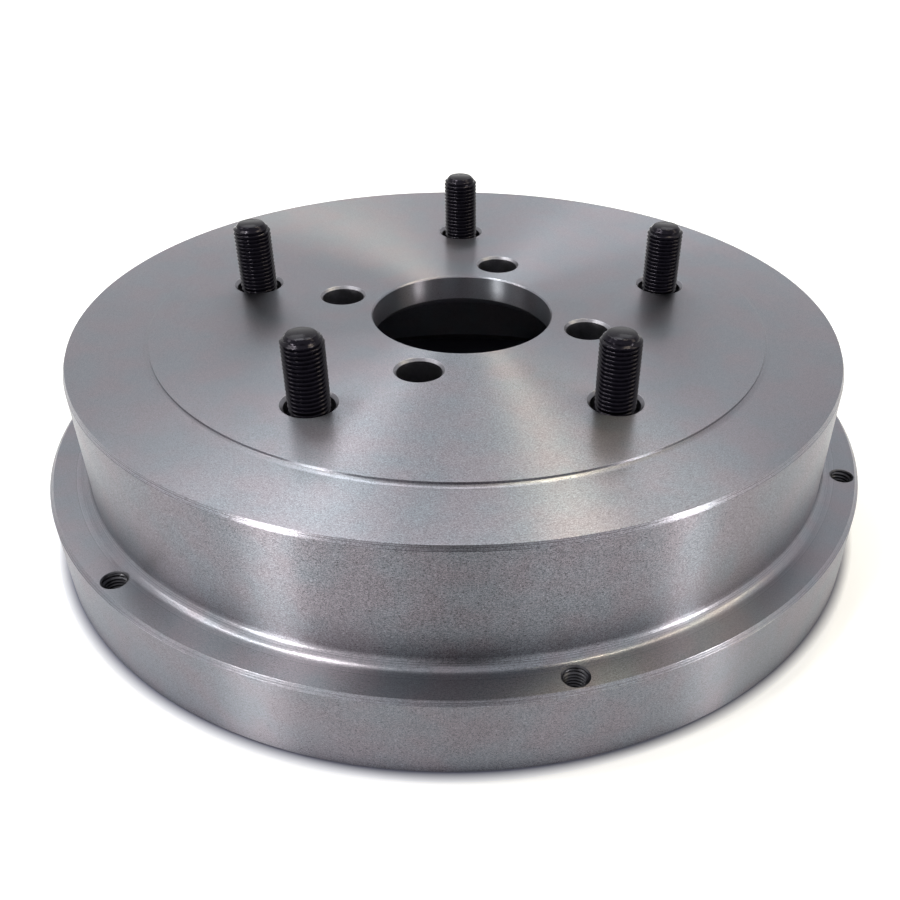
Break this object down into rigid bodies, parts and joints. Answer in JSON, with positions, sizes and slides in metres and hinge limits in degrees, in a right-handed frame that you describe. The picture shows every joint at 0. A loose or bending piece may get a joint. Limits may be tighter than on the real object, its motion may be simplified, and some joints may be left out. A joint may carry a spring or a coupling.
{
  "type": "brake drum",
  "caption": "Turned cast-iron brake drum with an outward lip at its open rim, pressed-in wheel studs, a centre bore, flange holes and threaded lip holes.",
  "frame": {"origin": "centre of the open rim's face, which the drum stands on", "axes": "+Z along the drum's axis, from the open rim to the hub face; a stud, a flange hole and a lip hole lie in line on -X"},
  "size_m": [0.315, 0.315, 0.1007],
  "materials": {
    "machined_iron": "turned bright, fine concentric tool marks",
    "black_steel": "black oxide, slightly oily"
  },
  "bodies": {
    "root": {"drum": "machined_iron", "wheel_stud_1": "black_steel", "wheel_stud_2": "black_steel", "wheel_stud_3": "black_steel", "wheel_stud_4": "black_steel", "wheel_stud_5": "black_steel"}
  },
  "joints": []
}
